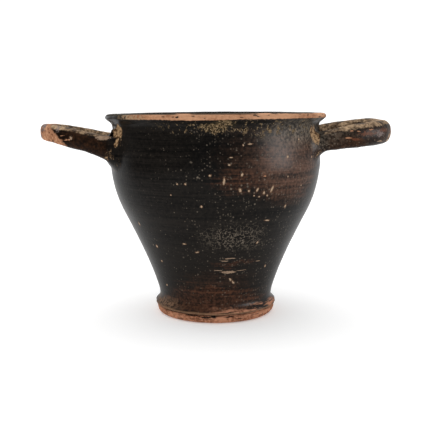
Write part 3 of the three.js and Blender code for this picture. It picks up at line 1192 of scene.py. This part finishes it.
    def lay_slip(self) -> None:
        """The black slip with its wheel streaks, darker at the upper front as a painted dark reflection, and
        the brown of the misfired side.
        """
        ramp, patch, mottle, streaks = self.ramp, self.patch, self.mottle, self.streaks
        even = ramp(streaks * 0.35 + self.fine_streaks * 0.3 + mottle * 0.35, 0.36, 0.64)
        # The slip's tone is lighter below about 62 mm, and the patch at the upper front darkens it as painted
        # shade that stands for a dark reflection.
        self.lay(BLACK_SLIP, 1.0, even + ramp(self.z, 62, 30) * 0.5 - patch(0, 82, 15, 14) * 0.5)
        self.roughness = self.blend(self.clouds, 0.27, 0.37)
        tone = ramp(streaks * 0.3 + self.fine_streaks * 0.25 + mottle * 0.45, 0.37, 0.63)
        front = patch(42, 76, 31, 21).most(patch(26, 80, 34, 24) * 0.55).most(patch(4, 22, 30, 9) * 0.5)
        back = self.noise(self.place, 48, 20) * ramp(self.y, 0, 20)
        brown = front.most(ramp(back, 0.42, 0.75) * 0.5)
        streaky = ramp(brown + (streaks - 0.5) * 0.32 + (mottle - 0.5) * 0.34, 0.22, 0.85)
        self.lay(BROWN_SLIP, streaky * self.outside * 0.9, tone * ramp(brown, 0.1, 0.9))
        bands = patch(-2, 16.5, 22, 3.6).most(patch(14, 30.5, 15, 2.4) * 0.65)
        bands = bands.most(patch(2, 9.0, 26, 1.9)).most(patch(40, 10.5, 12, 2.2))
        bands = (bands * 0.85).most(patch(12, 71, 15, 9) * 0.5).most(patch(0, 11, 34, 10, 0.8) * 0.75)
        red = ramp(bands + (streaks - 0.5) * 0.8 + (mottle - 0.5) * 0.4, 0.2, 0.95)
        self.lay(RED_SLIP, red * self.outside * 0.75, tone)
        on_handle = ramp(self.radius, 54.5, 58.0)
        tone = ramp(self.clouds * 0.55 + mottle * 0.45, 0.42, 0.68)
        self.lay(HANDLE_SLIP, on_handle * (1.0 - self.broken), tone)

    def lay_dust(self) -> None:
        """Fine pale specks all over, and more of them where the slip is worn thin."""
        ramp = self.ramp
        there = ramp(self.x, -45, 10, 0.4, 1.0) + ramp(self.x, 40, 50) * ramp(self.x, 64, 54) * 0.5
        fine = self.dots(1.15, 0.1, 0.36, there * 0.6) * ramp(self.grit, 0.3, 0.65, 0.05, 0.65)
        coarse = self.dots(3.6, 0.06, 0.48) * ramp(self.noise(self.place, 11), 0.42, 0.62)
        contour = self.noise(self.place, 2.1) - 0.5
        lines = ramp(contour * contour, 0.0022, 0.0004) * ramp(self.grit, 0.36, 0.52)
        squiggles = self.patch(12.5, 44.0, 15, 7.0, 0.8) * lines
        self.lay(DUST, fine.most(coarse * 0.9).most(squiggles * 0.9) * 0.75, self.mottle)

    def lay_crusts(self) -> None:
        """Olive crust under the lip, ochre where the handles meet the wall and on their tops, and painted
        light on the loops' inward faces.
        """
        ramp, patch, mottle, grit, outside = self.ramp, self.patch, self.mottle, self.grit, self.outside
        veil = patch(50, 91.5, 22, 7.0)
        self.lay(DUST, veil * outside * 0.4, self.speckle)
        thick, thin = patch(2, 94.8, 9, 2.5, 0.6), patch(20, 94.2, 44, 3.8, 0.7)
        self.lay(OLIVE_STAIN, thick * 0.7 * outside, mottle)
        lumps = self.noise(self.place, 2.0, detail=3.0)
        clumps = ramp(lumps * 0.7 + grit * 0.3 + thick * 0.08 + thin * 0.04, 0.59, 0.63)
        specks = self.dots(1.9, 0.02, 0.6, thin.most(veil) * 0.58)
        crust = (clumps * thick.most(thin)).most(specks)
        self.lay(OLIVE_CRUST, crust * outside * 0.9, ramp(grit, 0.4, 0.7))
        crumbs = self.dots(3.1, 0.05, 0.55, thin * 0.55) * outside
        self.lay(replace(CREAM_FLECK, rise=0.06), crumbs * 0.75, mottle)
        drips = self.noise(self.place, 1.6, 5.0)
        reaches = (self.reach_on_wall(self.steady_wall, mark, self.streak_depth) for mark in ROOT_STREAKS)
        streaks = reduce(Wire.most, (ramp(reach, 1.35, 0.5) for reach in reaches))
        faint = patch(66, 80, 3.0, 6.0, 0.8).most(patch(-64, 81, 3.0, 6.0, 0.8))
        streaks = streaks.most(faint * 0.5).most(ramp(self.root, 0.75, 1.0) * 0.3)
        ochre = ramp(streaks + (drips - 0.5) * 1.2 + (grit - 0.5) * 0.9, 0.4, 0.85)
        self.lay(OCHRE_STREAK, ochre * outside * 0.85, self.speckle)
        # Tan crust on the loops' upward faces, and painted light on their inward faces that lightens the
        # shade between the bars.
        top = ramp(self.facing_up, 0.2, 0.7).most(self.painted_light_inside_loop) * ramp(self.radius, 54, 57)
        bald = self.noise(self.place, 5.0, detail=3.0)
        worn_top_and_painted_inside_light = ramp(top * 0.6 + bald * 0.6 + grit * 0.25 + mottle * 0.35, 1.0, 1.34)
        self.lay(TAN_CRUST, worn_top_and_painted_inside_light * 0.9, ramp(mottle * 0.6 + bald * 0.4, 0.3, 0.66))

    def lay_bare_clay(self) -> None:
        """Clay showing at the lip, the foot, the handles' tips, the underside and the breaks."""
        ragged = (self.clouds - 0.5) * 1.6 + (self.mottle - 0.5) * 1.8
        bare = self.noise(self.place, 12, detail=3.0)
        self.lay_bare_lip(ragged, bare)
        self.lay_bare_foot(ragged)
        self.lay_bare_tips(ragged, bare)
        under = self.ramp(self.radius, 27.4, 27.0) * self.ramp(self.z, 4.0, 3.6)
        self.lay(CLAY, under, self.ramp(self.clouds, 0.3, 0.7))
        self.lay(FOOT_CLAY, self.broken, self.ramp(self.mottle, 0.3, 0.6))

    def lay_bare_lip(self, ragged: Wire, bare: Wire) -> None:
        """Clay showing along the lip, with the slip that is kept there.

        Args:
            ragged: How far the slip's edges wander.
            bare: Broad noise, lighter where more of the slip is lost.
        """
        ramp, mottle, outside, height = self.ramp, self.mottle, self.outside, self.body.height
        level = self.z - self.x * (self.body.lip_rise / self.body.lip_radius)
        dip = self.patch(-6, height, 15, 20, 0.8) * 0.35
        edge = ramp(level + dip + ragged * 0.35, height - 2.45, height - 2.05) * ramp(self.radius, 50.8, 51.8)
        on_top = ramp(level + (mottle - 0.5) * 0.5, height - 0.3, height - 0.1) * ramp(bare, 0.62, 0.54)
        middle = self.reach_on_wall(self.warped_wall, Mark(18, height, 60, 20), 40)
        elsewhere = ramp(self.noise(self.place, 22), 0.4, 0.48) * ramp(self.y, 10, 25)
        kept = ramp(self.noise(self.place, 4.0, 1.0), 0.64, 0.7).most(on_top)
        dark_top = ramp(level, height - 1.0, height - 0.5) * ramp(self.radius, 50.0, 51.0)
        self.lay(OLIVE_STAIN, dark_top * outside * 0.85, mottle)
        rim = edge * ramp(middle, 1.06, 0.98).most(elsewhere) * (1.0 - kept * 0.85)
        self.lay(CLAY, rim * outside, ramp(mottle * 0.35 + bare * 0.65, 0.3, 0.6))
        dull = self.patch(-44, height, 9, 20, 0.5) * edge * (1.0 - on_top)
        self.lay(TAN_CRUST, dull * ramp(mottle, 0.42, 0.52) * outside * 0.9, mottle)

    def lay_bare_tips(self, ragged: Wire, bare: Wire) -> None:
        """Clay showing at the tips of the loops.

        Args:
            ragged: How far the slip's edges wander.
            bare: Broad noise, lighter where more of the slip is lost.
        """
        ramp, mottle = self.ramp, self.mottle
        left_tip = ramp(self.x + ragged * 2.8 + (self.z - 91.0), -76.4, -78.0) * ramp(self.x, -66.0, -68.0)
        right_tip = ramp(self.x + ragged * 3.0, 84.5, 87.0) * 0.6
        tips = left_tip.most(right_tip) * ramp(mottle + bare, 0.76, 0.92)
        self.lay(CLAY, tips, ramp(mottle * 0.5 + bare * 0.5, 0.38, 0.66))

    def lay_bare_foot(self, ragged: Wire) -> None:
        """Clay showing on the foot, below its groove and at its front right.

        Args:
            ragged: How far the slip's edges wander.
        """
        ramp, mottle, outside, groove = self.ramp, self.mottle, self.outside, self.body.groove_level
        remnant = ramp(self.noise(self.place, 7.0, 0.7), 0.6, 0.67)
        low = ramp(self.z + ragged * 0.15, groove, groove - 0.3) * (1.0 - remnant * 0.8)
        broken_streaks = ramp(self.noise(self.place, 8.0, 0.6), 0.43, 0.54)
        right = self.patch(44, groove + 1.2, 27, 2.9, 0.5) * broken_streaks
        uneven = mottle * 0.6 + self.clouds * 0.4
        self.lay(FOOT_CLAY, low.most(right) * outside, ramp(uneven, 0.32, 0.58))
        ridge = ramp(self.z, groove + 0.3, groove + 0.55)
        ridge = ridge * ramp(self.z + ragged * 0.35, groove + 1.7, groove + 1.1)
        self.lay(RUBBED_CLAY, ridge * ramp(self.radius, 28.6, 29.4) * outside * 0.85, mottle)
        scraped = self.patch(-60, 7.0, 14, 3.4, 0.8) * ramp(uneven, 0.38, 0.56)
        self.lay(RUBBED_CLAY, scraped * 0.75, mottle)

    def lay_flecks(self) -> None:
        """The larger chips of slip and the marks, each in its own place."""
        ragged = (self.grit - 0.5) * 1.3 + (self.mottle - 0.5) * 0.6
        for kind in Fleck:
            marks = [Mark(*row) for row in WALL_FLECKS.get(kind, ())]
            reaches = [self.reach_on_wall(self.steady_wall, mark, self.mark_depth) for mark in marks]
            for mark in [LoopMark(*row) for row in LOOP_FLECKS.get(kind, ())]:
                scale = (1 / mark.wide, 1 / self.loop_mark_depth, 1 / mark.tall)
                reaches.append(self.reach(self.steady, (mark.x, mark.y, mark.level), scale))
            nearest = reduce(Wire.least, reaches) + ragged * (2.0 if kind in (Fleck.RED, Fleck.GREY) else 1.0)
            if kind is Fleck.CREAM:
                halo = self.ramp(nearest, 1.6, 1.0) * self.outside
                self.lay(replace(RUBBED_CLAY, rise=0.0), halo * 0.5, self.mottle)
            self.lay(replace(kind.value, rise=0.0), self.ramp(nearest, 0.94, 0.6) * self.outside, self.mottle)

    def made(self) -> Material:
        """Lays every coat and wires the shader."""
        self.lay_slip()
        self.lay_dust()
        self.lay_crusts()
        self.lay_bare_clay()
        self.lay_flecks()
        relief = self.relief + self.fine_streaks * self.streak_relief
        relief = relief + self.grit * self.grit_relief + self.mottle * self.mottle_relief
        inputs = {
            "Base Color": self.colour,
            "Roughness": self.roughness,
            "Normal": self.wire("ShaderNodeBump", {"Height": relief, "Distance": MM, "Strength": 1.0}),
            "IOR": self.index_of_slip,
        }
        self.node("ShaderNodeOutputMaterial", {"Surface": self.wire("ShaderNodeBsdfPrincipled", inputs)})
        return self.material


@dataclass
class Studio:
    """A white table in a soft white room that is darker behind the camera, as for a catalogue picture."""

    camera_place: Point3 = (0.25, -380.0, 103.63)
    camera_pitch: float = 8.31
    focal_share: float = 755.6 / 432
    sensor: float = 36.0

    table_reach: float = 8000.0
    table_colour: float = 0.9
    table_glow: float = 0.23
    room_behind_cup: float = 1.12
    room_behind_camera: float = 0.2
    room_turn: Point = (-0.1, 0.5)

    sun_strength: float = 2.1
    sun_spread: float = 100.0
    sun_turns: Point3 = (12.0, -7.0, 0.0)
    panel_sides: Point = (0.45, 0.7)
    panel_strength: float = 29.0
    panel_way: Point3 = (0.94, -0.33, 0.12)
    card_x: float = -260.0
    card_run: Point = (-700.0, 40.0)
    card_top: float = 500.0
    card_colour: float = 0.02

    def camera(self) -> None:
        """Stands the camera in front of the cup, looking a little down."""
        data = bpy.data.cameras.new("camera")
        data.sensor_width = self.sensor
        data.lens = self.focal_share * self.sensor
        camera = placed("camera", data)
        camera.location = Vector(self.camera_place) * MM
        camera.rotation_euler = (math.radians(90 - self.camera_pitch), 0, 0)
        bpy.context.scene.camera = camera

    def sheet(self, name: str, corners: list[Point3], looks: Inputs, hidden: tuple[str, ...] = ()) -> None:
        """Adds a flat sheet, a separate object from the cup.

        Args:
            name: The object's name.
            corners: Its four corners, in millimetres.
            looks: The values of its shader's sockets.
            hidden: The kinds of ray that pass it by.
        """
        mesh = bpy.data.meshes.new(name)
        mesh.from_pydata([Vector(corner) * MM for corner in corners], [], [(0, 1, 2, 3)])
        material = bpy.data.materials.new(name)
        material.use_nodes = True
        for socket, value in looks.items():
            material.node_tree.nodes["Principled BSDF"].inputs[socket].default_value = value
        mesh.materials.append(material)
        piece = placed(name, mesh)
        for ray in hidden:
            setattr(piece, f"visible_{ray}", False)

    def table(self) -> None:
        """Lays the white table under the foot."""
        reach = self.table_reach
        looks = {
            "Base Color": (*[self.table_colour] * 3, 1),
            "Roughness": 0.9,
            "Specular IOR Level": 0.0,
            "Emission Color": (1, 1, 1, 1),
            "Emission Strength": self.table_glow,
        }
        corners = [(-reach, -reach, 0), (reach, -reach, 0), (reach, reach, 0), (-reach, reach, 0)]
        self.sheet("table_top", corners, looks)

    def dark_card(self) -> None:
        """Stands a dark card at the left, out of sight, which only the cup's gloss mirrors."""
        x, (near, far), top = self.card_x, self.card_run, self.card_top
        looks = {"Base Color": (*[self.card_colour] * 3, 1), "Roughness": 1.0}
        corners = [(x, near, 0), (x, far, 0), (x, far, top), (x, near, top)]
        self.sheet("dark_card", corners, looks, hidden=("camera", "diffuse", "shadow"))

    def room(self) -> None:
        """Lights the room from all round, brighter behind the cup than behind the camera."""
        world = bpy.data.worlds.new("white_room")
        world.use_nodes = True
        bpy.context.scene.world = world
        graph = Graph(world.node_tree)
        back = graph.parts(graph.node("ShaderNodeTexCoord")["Generated"])[1]
        strength = graph.ramp(back, *self.room_turn, self.room_behind_camera, self.room_behind_cup)
        light = graph.wire("ShaderNodeBackground", {"Color": (1, 1, 1, 1), "Strength": strength})
        graph.node("ShaderNodeOutputWorld", {"Surface": light})

    def lamps(self) -> None:
        """Hangs a broad soft light overhead and stands a tall soft panel at the right."""
        sun = bpy.data.lights.new("overhead", "SUN")
        sun.energy = self.sun_strength
        sun.angle = math.radians(self.sun_spread)
        placed("overhead", sun).rotation_euler = [math.radians(turn) for turn in self.sun_turns]
        panel = bpy.data.lights.new("side_panel", "AREA")
        panel.shape = "RECTANGLE"
        panel.size, panel.size_y = self.panel_sides
        panel.energy = self.panel_strength
        stand = placed("side_panel", panel)
        stand.location = Vector(self.panel_way).normalized()
        stand.rotation_euler = stand.location.to_track_quat("Z", "Y").to_euler()
        stand.visible_diffuse = False

    def set_up(self) -> None:
        """Sets up the table, the lights and the camera, with plain picture colours."""
        self.table()
        self.dark_card()
        self.room()
        self.lamps()
        self.camera()
        bpy.context.scene.view_settings.view_transform = "Standard"


RIGHT_LOOP = Loop(
    "right_loop", side=1, reach=82.0, drop=8.92, root_drop=4.82, arch=1.56, roll=0.031,
    tall=9.1, wide=8.19, tip=1.29, flare=0.06, corners=2.3, lower_fillet=5.6,
)
LEFT_LOOP = Loop(
    "left_loop", side=-1, reach=82.99, drop=9.38, root_drop=8.5, arch=1.25, roll=-0.013,
    tall=10.45, wide=10.01, tip=0.76, flare=0.5, corners=3.0, upper_fillet=3.6,
)
CHIPS = (
    ChipBand(16, 12, 82, 29.9, 0.5, 0.9, 2.0, seed=11),
    ChipBand(12, 18, 78, 31.0, 3.4, 0.7, 1.3, seed=21),
    ChipBand(6, -80, 5, 30.4, 0.2, 0.5, 1.1, seed=61),
    ChipBand(9, 110, 300, 30.2, 0.8, 0.6, 1.5, seed=51),
    ChipBand(12, -60, 80, 55.1, 99.5, 0.4, 0.8, seed=31),
    ChipBand(10, 100, 260, 55.0, 99.3, 0.5, 1.2, seed=41),
)


def main() -> None:
    """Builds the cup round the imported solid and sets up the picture."""
    logging.basicConfig(level=logging.INFO, format="%(name)s: %(message)s")
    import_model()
    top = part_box(CAD_NODE)[1].z / MM
    body = Body(height=top - Body.lip_rise)
    cup = Cup(body, (RIGHT_LOOP, LEFT_LOOP), CHIPS).made(Finish(body).made())
    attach(cup, "root")
    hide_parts(CAD_NODE)
    LOG.info("%s: %d faces", cup.name, len(cup.data.polygons))
    Studio().set_up()


if __name__ == "__main__":
    main()
